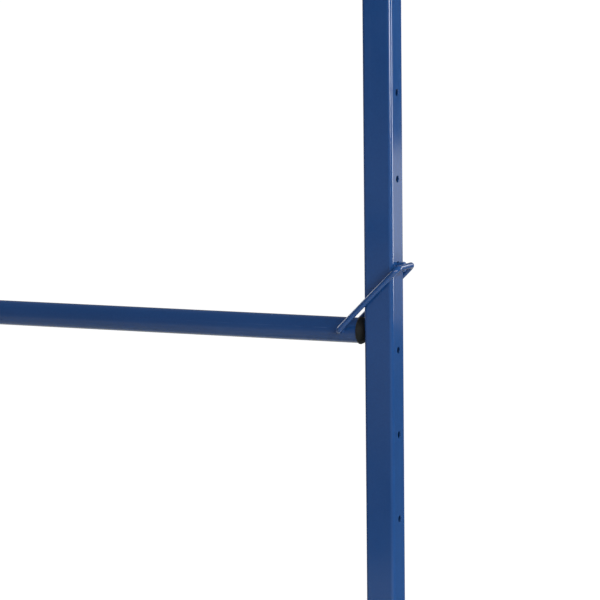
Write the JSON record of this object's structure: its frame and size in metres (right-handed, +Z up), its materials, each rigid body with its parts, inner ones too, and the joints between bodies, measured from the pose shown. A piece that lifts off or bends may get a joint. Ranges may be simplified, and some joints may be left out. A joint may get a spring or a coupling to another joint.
{
  "type": "cantilever rack",
  "caption": "Single-sided cantilever rack: square posts on floor legs carry round tube arms that hook on by a bent-rod bail and lean on a plastic heel cap.",
  "frame": {"origin": "centre of the rack's bounding box, on the floor", "axes": "+X along the rack from the left post to the right post as seen from the front, -Y towards the arm tips (the front), +Z up"},
  "size_m": [1.36, 0.701, 1.804],
  "materials": {
    "blue_frame": "glossy gentian-blue powder coat",
    "blue_arm": "glossy gentian-blue powder coat",
    "black_plastic": "fine-grained moulded black plastic",
    "zinc_steel": "bright zinc plate"
  },
  "bodies": {
    "rack": {"post_left": "blue_frame", "post_right": "blue_frame", "post_cap_left": "black_plastic", "post_cap_right": "black_plastic", "leg_left": "blue_frame", "leg_right": "blue_frame", "leg_cap_front_left": "black_plastic", "leg_cap_front_right": "black_plastic", "leg_cap_rear_left": "black_plastic", "leg_cap_rear_right": "black_plastic", "base_plate_left": "blue_frame", "base_plate_right": "blue_frame", "gusset_left": "blue_frame", "gusset_right": "blue_frame", "beam_lower": "blue_frame", "beam_upper": "blue_frame", "end_plate_lower_left": "blue_frame", "end_plate_lower_right": "blue_frame", "end_plate_upper_left": "blue_frame", "end_plate_upper_right": "blue_frame", "beam_bolts": "zinc_steel", "beam_washers": "zinc_steel", "beam_nuts": "zinc_steel", "leg_inserts": "zinc_steel"},
    "level_foot_left": {"level_pad_left": "black_plastic", "level_screw_left": "zinc_steel"},
    "level_foot_right": {"level_pad_right": "black_plastic", "level_screw_right": "zinc_steel"},
    "arm_l1": {"arm_tube_l1": "blue_arm", "arm_heel_cap_l1": "black_plastic", "arm_tip_cap_l1": "black_plastic", "arm_bail_l1": "blue_arm", "arm_stud_l1": "blue_arm"},
    "arm_l2": {"arm_tube_l2": "blue_arm", "arm_heel_cap_l2": "black_plastic", "arm_tip_cap_l2": "black_plastic", "arm_bail_l2": "blue_arm", "arm_stud_l2": "blue_arm"},
    "arm_l3": {"arm_tube_l3": "blue_arm", "arm_heel_cap_l3": "black_plastic", "arm_tip_cap_l3": "black_plastic", "arm_bail_l3": "blue_arm", "arm_stud_l3": "blue_arm"},
    "arm_r1": {"arm_tube_r1": "blue_arm", "arm_heel_cap_r1": "black_plastic", "arm_tip_cap_r1": "black_plastic", "arm_bail_r1": "blue_arm", "arm_stud_r1": "blue_arm"},
    "arm_r2": {"arm_tube_r2": "blue_arm", "arm_heel_cap_r2": "black_plastic", "arm_tip_cap_r2": "black_plastic", "arm_bail_r2": "blue_arm", "arm_stud_r2": "blue_arm"},
    "arm_r3": {"arm_tube_r3": "blue_arm", "arm_heel_cap_r3": "black_plastic", "arm_tip_cap_r3": "black_plastic", "arm_bail_r3": "blue_arm", "arm_stud_r3": "blue_arm"}
  },
  "joints": [
    {"name": "level_foot_left_screw", "type": "slide", "parent": "rack", "child": "level_foot_left", "axis": [0, 0, -1], "range_m": [0, 0.01]},
    {"name": "level_foot_right_screw", "type": "slide", "parent": "rack", "child": "level_foot_right", "axis": [0, 0, -1], "range_m": [0, 0.01]},
    {"name": "arm_l1_lift", "type": "hinge", "parent": "rack", "child": "arm_l1", "pos_m": [-0.6, 0.3065, 0.4918], "axis": [-1, 0, 0], "range_deg": [0, 25]},
    {"name": "arm_l2_lift", "type": "hinge", "parent": "rack", "child": "arm_l2", "pos_m": [-0.6, 0.3065, 1.0418], "axis": [-1, 0, 0], "range_deg": [0, 25]},
    {"name": "arm_l3_lift", "type": "hinge", "parent": "rack", "child": "arm_l3", "pos_m": [-0.6, 0.3065, 1.5918], "axis": [-1, 0, 0], "range_deg": [0, 25]},
    {"name": "arm_r1_lift", "type": "hinge", "parent": "rack", "child": "arm_r1", "pos_m": [0.6, 0.3065, 0.4918], "axis": [-1, 0, 0], "range_deg": [0, 25]},
    {"name": "arm_r2_lift", "type": "hinge", "parent": "rack", "child": "arm_r2", "pos_m": [0.6, 0.3065, 1.0418], "axis": [-1, 0, 0], "range_deg": [0, 25]},
    {"name": "arm_r3_lift", "type": "hinge", "parent": "rack", "child": "arm_r3", "pos_m": [0.6, 0.3065, 1.5918], "axis": [-1, 0, 0], "range_deg": [0, 25]}
  ]
}
